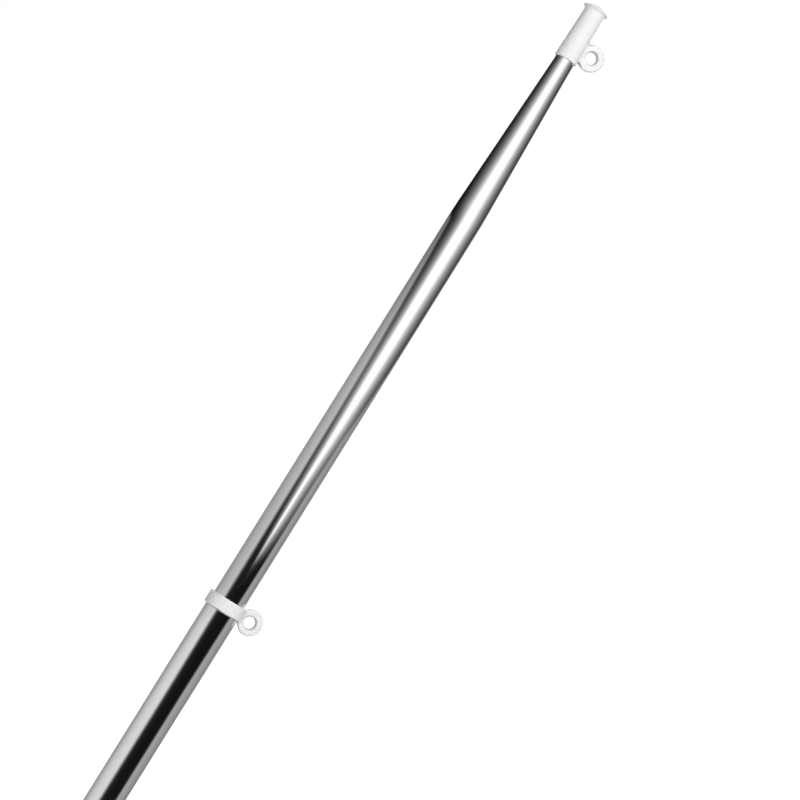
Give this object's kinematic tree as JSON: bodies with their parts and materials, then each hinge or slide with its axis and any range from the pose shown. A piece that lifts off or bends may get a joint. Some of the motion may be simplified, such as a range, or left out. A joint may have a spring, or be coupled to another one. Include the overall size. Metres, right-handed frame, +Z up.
{
  "type": "boat flagstaff",
  "caption": "Slender polished steel flagstaff with a tapered top, a white moulded cap with a flag eye and a sliding white ring with a second eye.",
  "frame": {"origin": "centre of the tube's open lower end, on the plane of its end face", "axes": "+Z up the staff, +X from the staff towards both flag eyes, +Y along the holes of the eyes"},
  "size_m": [0.0443, 0.0286, 0.8],
  "materials": {
    "polished_steel": "mirror-polished stainless steel with faint lengthwise polishing lines",
    "white_plastic": "satin white moulded nylon, slightly translucent"
  },
  "bodies": {
    "staff": {"staff_tube": "polished_steel", "top_cap": "white_plastic"},
    "ring": {"flag_ring": "white_plastic"}
  },
  "joints": [
    {"name": "ring_slide", "type": "slide", "parent": "staff", "child": "ring", "axis": [0, 0, 1], "range_m": [0, 0.31]}
  ]
}
